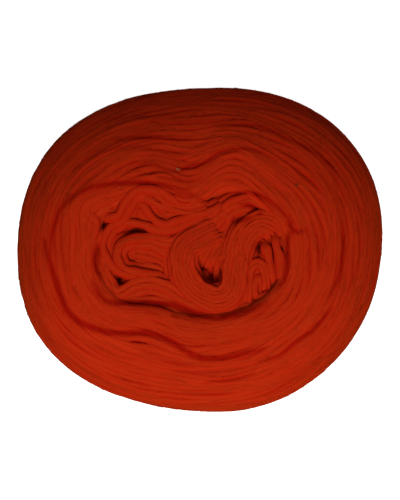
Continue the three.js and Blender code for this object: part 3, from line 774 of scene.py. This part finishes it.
# Rows are the name, how many strands lie side by side, how far apart, the height of their
# tops, and the path as seen from above.
FOLDS = [
    ("corner_lip", 1, 3.2, 55.5, [(-63.5, -4.5), (-59.5, 3), (-56, 9.5), (-56, 15),
        (-59.5, 19.5), (-59.5, 24), (-54.5, 26), (-47.5, 25.5), (-42, 25.5)]),
    ("corner_fill", 1, 3.0, 54, [(-58, 21), (-53, 21.5), (-48, 21), (-44, 23)]),
    ("bridge", 1, 3.4, 56, [(-52.5, 18), (-47.5, 17), (-43.5, 18.5), (-41, 23.5),
        (-37.5, 28.5), (-33.5, 31), (-27.5, 32), (-21, 31), (-15, 27), (-9, 23.5)]),
    ("inner_hump", 1, 3.0, 55, [(-34.5, 27), (-29, 27.5), (-24, 25), (-20.5, 22), (-17, 20.5)]),
    ("hump_fill", 2, 2.8, 54.3, [(-31, 22), (-26, 24), (-21, 26), (-15, 23), (-8, 21),
        (0, 22.5), (7, 25)]),
    ("second_hump", 1, 3.2, 54.3, [(-36.5, 24), (-32, 24.5), (-29, 22), (-27, 18.5),
        (-22.5, 14.5), (-16.5, 13.5), (-9.5, 16), (-3, 18.5), (4, 20), (10, 22.5), (14, 27)]),
    ("lens", 2, 2.6, 53.2, [(-24, 18), (-16.5, 17), (-8.5, 18.5), (-1, 20.5), (7, 21.5)]),
    ("pit_strand", 1, 3.0, 54, [(-42.5, 9), (-43, 11.5), (-40, 14), (-35, 14.5), (-29.5, 13),
        (-23.5, 10.5), (-16.5, 10), (-10, 12), (-4.5, 15), (1.5, 18), (8, 22)]),
    ("left_curve", 1, 3.1, 53.6, [(-32, 17.5), (-37.5, 16.5), (-43.5, 14.5), (-49, 11),
        (-52, 5.5), (-51.5, -1), (-48.5, -7), (-44, -11.5), (-37.5, -14), (-29, -14.5)]),
    ("tongue", 1, 3.3, 53.6, [(-11.5, 4.5), (-17, 6), (-24, 7), (-33.5, 6), (-40, 4.5),
        (-43.5, 1), (-44, -4.5), (-41.5, -9.5), (-36, -12), (-27.5, -13), (-18, -14.5)]),
    ("tongue_back", 2, 3.0, 53.2, [(-37, 3.5), (-30, 3.8), (-24, 2.5), (-18, -1), (-13, -5)]),
    ("tongue_bed", 3, 2.8, 51.6, [(-39, -3), (-33, -3.5), (-26, -5), (-20, -8), (-14, -11)]),
    ("tongue_floor", 2, 2.7, 52.2, [(-36, -9.5), (-30, -10), (-24, -11), (-17, -13.5)]),
    ("inner_swag", 2, 3.0, 53.8, [(-55.5, 0), (-53, -6), (-50.5, -12.5), (-48, -18.5),
        (-45.5, -23.5), (-41, -22.5), (-36, -19.5), (-29, -17.5), (-22.5, -18),
        (-16.5, -21), (-9.5, -26), (-2.5, -29.5), (4.5, -32)]),
    ("outer_swag", 1, 3.0, 52.6, [(-58, 0), (-58, -7), (-56, -14), (-53, -21), (-49, -26),
        (-43, -27), (-36.5, -25), (-30.5, -22.5), (-24, -22.5), (-16.5, -26), (-8.5, -29)]),
    ("under_swag", 2, 2.9, 52.4, [(-47, -27.5), (-40, -28.5), (-32, -28), (-24, -28),
        (-16, -30), (-8, -33), (0, -35.5), (9, -37), (18, -36)]),
    ("great_turn", 6, 2.05, 55.2, [(12.5, 12.5), (4, 8.5), (-4, 4.5), (-8.5, 0), (-9.5, -7),
        (-8, -14), (-4.5, -19.5), (1, -24), (7, -26.5), (13.5, -25.5), (17.5, -20.5),
        (18.5, -14), (19.5, -6), (21, 1.5), (24, 8.5), (28, 12.5), (33.5, 14.5),
        (39, 12.5), (43, 8)]),
    ("outer_arch", 2, 2.2, 53.8, [(25, -31), (25.5, -22.5), (26, -14), (27.8, -9), (31, -7),
        (34, -9.5), (35.2, -15.5), (35.6, -23.5)]),
    ("inner_arch", 1, 2.8, 53, [(28.8, -29), (29, -22), (30, -17), (31.3, -15.5), (32.6, -17.5),
        (33.2, -23)]),
    ("first_upright", 1, 3.2, 53.8, [(34.2, 6), (36.2, -2), (37.6, -11), (38.3, -20)]),
    ("second_upright", 1, 3.3, 54.4, [(39.6, 9.5), (41.6, 0), (42.9, -9.5), (43.6, -19.5)]),
    ("dive", 4, 2.4, 52.8, [(17, 9.5), (11, 5.5), (6.5, 0), (3.5, -5), (1.5, -10)]),
    ("dive_fan", 2, 2.4, 53.4, [(18, 3), (14.5, -1.5), (11.5, -6), (9, -10)]),
    ("curl", 1, 3.0, 53.6, [(14, 11.5), (15, 16.5), (18, 19.5), (22.5, 21), (27.5, 21.5),
        (29.5, 18)]),
    ("curl_back", 2, 2.6, 52.6, [(17.5, 13.5), (21, 17), (25, 17.5), (31, 16.5)]),
    ("right_arch", 2, 2.8, 54.4, [(11, 18), (16.5, 24), (26, 27), (33, 24.5), (39.5, 19),
        (45.5, 12.5), (48, 4.5)]),
    ("sill", 3, 2.6, 52, [(5.5, -33), (15, -33), (22.5, -31), (30.5, -28.5), (38.5, -25.5),
        (42, -23.5)]),
    ("closing_strand", 1, 3.1, 55, [(49.5, -13.5), (49, -22.5), (44.5, -30.5), (38.5, -36),
        (29.5, -39), (18.5, -40)]),
    ("fan", 3, 2.6, 53.6, [(-27.5, 4.5), (-16.5, 2.5), (-8.5, 4.5), (-2.5, 8), (4, 12),
        (9.5, 16.5), (14, 21), (18, 25.5)]),
    ("rope", 2, 2.6, 54, [(-6, 8), (-1, 12.5), (5.5, 16.5), (11, 20.5), (15.5, 26)]),
    ("right_wall", 1, 2.5, 52, [(48.5, 7), (49.6, 0), (50, -7), (49.6, -13.5)]),
]
# The strands below a fold, as how far below its top and how many pitches outside its edge.
FOLD_PILES = [(0, 0), (1.5, 1), (3.2, 2), (3.4, 0), (5.6, 1), (7.4, 0)]
FOLD_CENTRE_DEPTH = 1.1
FOLD_HALF_HEIGHT = 1.05
FOLD_SIDES = 8
LEAST_FOLD_PITCH = 2.2
END_DIVE = 5
END_REACH = 8
LONG_FOLD = 62


def lay_folds(name, rows, steps, seed):
    """For each fold, paths beside its own path at its pitch, and more below them at the
    drops and places of the piles. The ends dive, and the hollows sink what lies below."""
    rng = np.random.default_rng(seed)
    centres, pitches, on_top = [], [], []
    for _, count, pitch, top, path in rows:
        line = through(path, steps) - MIDDLE
        tangent = np.gradient(line, axis=0)
        length = np.linalg.norm(tangent, axis=1).sum()
        tangent /= np.linalg.norm(tangent, axis=1, keepdims=True)
        beside = np.stack([-tangent[:, 1], tangent[:, 0]], -1)
        end = np.minimum(np.arange(steps), np.arange(steps)[::-1]) / steps * length
        half_band = (count - 1) / 2
        for drop, out in FOLD_PILES:
            places = np.array([-1, 1]) * (half_band + out) if out else (
                np.arange(count) - half_band
            )
            for place in places:
                off = place * pitch + (rng.normal(0, 0.35) if drop else 0)
                flat = line + off * beside
                crown = 0.25 * (place / max(half_band, 1)) ** 2 if drop == 0 else 0
                dive = END_DIVE * (1 - smooth((end + 1.5) / END_REACH))
                height = top - FOLD_CENTRE_DEPTH - drop - crown - dive
                height = height + rng.normal(0, 0.08)
                hollow = 0
                for x, y, reach_x, reach_y, depth in PITS:
                    far = ((flat[:, 0] + MIDDLE[0] - x) / reach_x) ** 2
                    far = far + ((flat[:, 1] + MIDDLE[1] - y) / reach_y) ** 2
                    hollow = hollow + depth * np.exp(-far)
                height = height - (hollow if drop else 0.15 * hollow)
                centres.append(np.concatenate([flat, height[:, None]], 1))
                pitches.append(max(pitch, LEAST_FOLD_PITCH))
                on_top.append(drop == 0)
    centres = np.stack(centres)
    lengths = np.linalg.norm(np.diff(centres, axis=1), axis=-1)
    distance = np.concatenate([np.zeros((len(centres), 1)), np.cumsum(lengths, axis=1)], 1)
    for axis, size in ((0, 0.25), (1, 0.25), (2, 0.14)):
        centres[..., axis] += wander(distance, (11, 17, 29), size, rng)
    pitches = np.array(pitches)[:, None]
    wide = 0.8 * pitches * (1 + wander(distance, (9, 15, 33), 0.13, rng))
    high = FOLD_HALF_HEIGHT * (1 + wander(distance, (10, 19, 27), 0.08, rng))
    tip = np.minimum(np.arange(steps), np.arange(steps)[::-1]) / steps
    shrink = 0.25 + 0.75 * smooth(tip / 0.05)
    ups = np.broadcast_to(np.array([0.0, 0.0, 1.0]), centres.shape)
    tone = 0.5 + 0.5 * rng.uniform(-0.5, 0.5, (len(centres), 1))
    piece = strands(
        name, centres, ups, wide * shrink, high * shrink, tone, FOLD_SIDES, roving, dent=0.0
    )
    return piece, centres[np.array(on_top)]


def path_length(path):
    """The sum of the distances from point to point."""
    return np.linalg.norm(np.diff(np.asarray(path, float), axis=0), axis=1).sum()


long_rows = [row for row in FOLDS if path_length(row[4]) > LONG_FOLD]
short_rows = [row for row in FOLDS if path_length(row[4]) <= LONG_FOLD]
long_folds, long_lines = lay_folds("long_folds", long_rows, 80, 11)
short_folds, short_lines = lay_folds("short_folds", short_rows, 40, 12)
for piece in (long_folds, short_folds):
    wound_on(piece)


# Single fibres that stand out of the surface a little and lie across the turns at all
# angles near their own. They are what makes the wool look soft. One fibre is so fine that
# light passes it by, so the fibres throw no shadow.
stray_fibre = wool(
    "stray_fibre", (0.38, 0.016, 0.003, 1), (0.45, 0.027, 0.0045, 1), (0.53, 0.042, 0.007, 1),
    (0.42, 0.021, 0.0038, 1),
)
FIBRES = 5400
FIBRE_STEPS = 5
FIBRE_SIDES = 3
FIBRE_SOFTNESS = 3.0
rng = np.random.default_rng(31)
start_angle = rng.uniform(0, 2 * np.pi, (FIBRES, 1))
start_travel = rng.uniform(SIDE_START - 2, SECTION_END - 3, (FIBRES, 1))
fibre_length = rng.uniform(7, 24, (FIBRES, 1))
t = np.linspace(0, 1, FIBRE_STEPS)[None, :]
place, _ = on_plate(start_angle, start_travel, 0)
radius = np.linalg.norm(place[..., :2], axis=-1)
angle = start_angle + fibre_length * t / radius
heading = rng.normal(0, 0.16, (FIBRES, 1)) + rng.normal(0, 0.25, (FIBRES, 1)) * t
travel = start_travel + fibre_length * t * heading
travel = travel + drift(angle, travel) * smooth((travel - SIDE_START - 2) / 10)
travel = np.clip(travel, SIDE_START - 3, SECTION_END - 1)
loose_end = np.abs(rng.normal(0, 0.2, (FIBRES, 1))) * t**3
lift = surface_lift(angle, travel) + rng.uniform(-0.1, 0.12, (FIBRES, 1)) + loose_end
centres, ups = on_plate(angle, travel, lift)
thick = rng.uniform(0.07, 0.14, (FIBRES, 1))
fibres = strands(
    "fibres", centres, ups, thick, 0.7 * thick, rng.uniform(0.3, 1.0, (FIBRES, 1)),
    FIBRE_SIDES, stray_fibre, softness=FIBRE_SOFTNESS,
)
fibres.visible_shadow = False
wound_on(fibres)

# The same fibres on the folds, each lying along the top of one strand of a fold.
FOLD_FIBRES = 1500
rng = np.random.default_rng(32)
for name, lines, part in (
    ("long_fold_fibres", long_lines, 0.62), ("short_fold_fibres", short_lines, 0.38),
):
    count = int(FOLD_FIBRES * part)
    which = rng.integers(0, len(lines), (count, 1))
    spacing = np.linalg.norm(np.diff(lines, axis=1), axis=-1).mean(1)[which]
    fibre_length = rng.uniform(4, 14, (count, 1))
    run = fibre_length / spacing
    steps = lines.shape[1]
    at = 2 + rng.random((count, 1)) * np.maximum(steps - 5 - run, 0) + run * t
    at = np.minimum(at, steps - 2.001)
    low = at.astype(int)
    blend = (at - low)[..., None]
    line = lines[which, low] * (1 - blend) + lines[which, low + 1] * blend
    tangent = lines[which, low + 1] - lines[which, low]
    tangent /= np.linalg.norm(tangent, axis=-1, keepdims=True)
    beside = np.stack([-tangent[..., 1], tangent[..., 0], 0 * tangent[..., 0]], -1)
    off = rng.normal(0, 0.6, (count, 1))
    off = off + fibre_length * (t - 0.5) * rng.normal(0, 0.12, (count, 1))
    rise = 1.35 * np.sqrt(np.maximum(1 - (off / 1.9) ** 2, 0.1))
    rise = rise + rng.uniform(0, 0.25, (count, 1))
    centres = line + off[..., None] * beside + rise[..., None] * np.array([0.0, 0.0, 1.0])
    ups = np.broadcast_to(np.array([0.0, 0.0, 1.0]), centres.shape)
    thick = rng.uniform(0.07, 0.14, (count, 1))
    fold_fibres = strands(
        name, centres, ups, thick, 0.7 * thick, rng.uniform(0.3, 1.0, (count, 1)),
        FIBRE_SIDES, stray_fibre, dent=0.0, softness=FIBRE_SOFTNESS,
    )
    fold_fibres.visible_shadow = False
    wound_on(fold_fibres)


# Two specks caught in the wool when it was carded: a tuft of undyed fibre, and a fleck of dry
# grass. Each is a few short fibres tangled together, held by the turns around it.
SPECK_FIBRES = 4
SPECK_STEPS = 9
SPECK_SIDES = 6
SPECK_HALF_WIDTH = 0.13


def speck(name, middle, reach, heading, material, seed):
    """Short fibres across the middle, each at its own angle near the heading, lying on the
    highest turn there: straight lines that arch by a cosine and end in points."""
    rng = np.random.default_rng(seed)
    turns = np.empty((len(top_turns.data.vertices), 3), np.float32)
    top_turns.data.vertices.foreach_get("co", turns.ravel())
    turns /= MM
    ground = turns[np.hypot(*(turns[:, :2] - middle).T) < 1.4, 2].max()
    t = np.linspace(-1, 1, SPECK_STEPS)[None, :]
    own = heading + rng.normal(0, 0.4, (SPECK_FIBRES, 1))
    aside = rng.normal(0, 0.25, (SPECK_FIBRES, 2, 1))
    x = middle[0] + aside[:, 0] + reach * t * np.cos(own)
    y = middle[1] + aside[:, 1] + reach * t * np.sin(own)
    z = ground - 0.05 + 0.3 * np.cos(t * np.pi / 2)
    thick = SPECK_HALF_WIDTH * np.sqrt(1.05 - t**2)
    centres = np.stack(np.broadcast_arrays(x, y, z), -1)
    ups = np.broadcast_to(np.array([0.0, 0.0, 1.0]), centres.shape)
    tone = rng.random((SPECK_FIBRES, 1))
    return strands(name, centres, ups, thick, thick, tone, SPECK_SIDES, material, dent=0.0)


undyed = wool(
    "undyed_tuft", (0.5, 0.3, 0.12, 1), (0.64, 0.44, 0.2, 1), (0.78, 0.6, 0.32, 1),
    (0.6, 0.25, 0.06, 1),
)
grass = wool(
    "dry_grass", (0.035, 0.02, 0.003, 1), (0.06, 0.035, 0.006, 1), (0.1, 0.06, 0.012, 1),
    (0.05, 0.02, 0.003, 1),
)
wound_on(speck("undyed_tuft", np.array([-11.8, 43.0]), 1.2, -0.1, undyed, 41))
wound_on(speck("dry_grass", np.array([51.6, 34.8]), 0.9, 0.5, grass, 42))
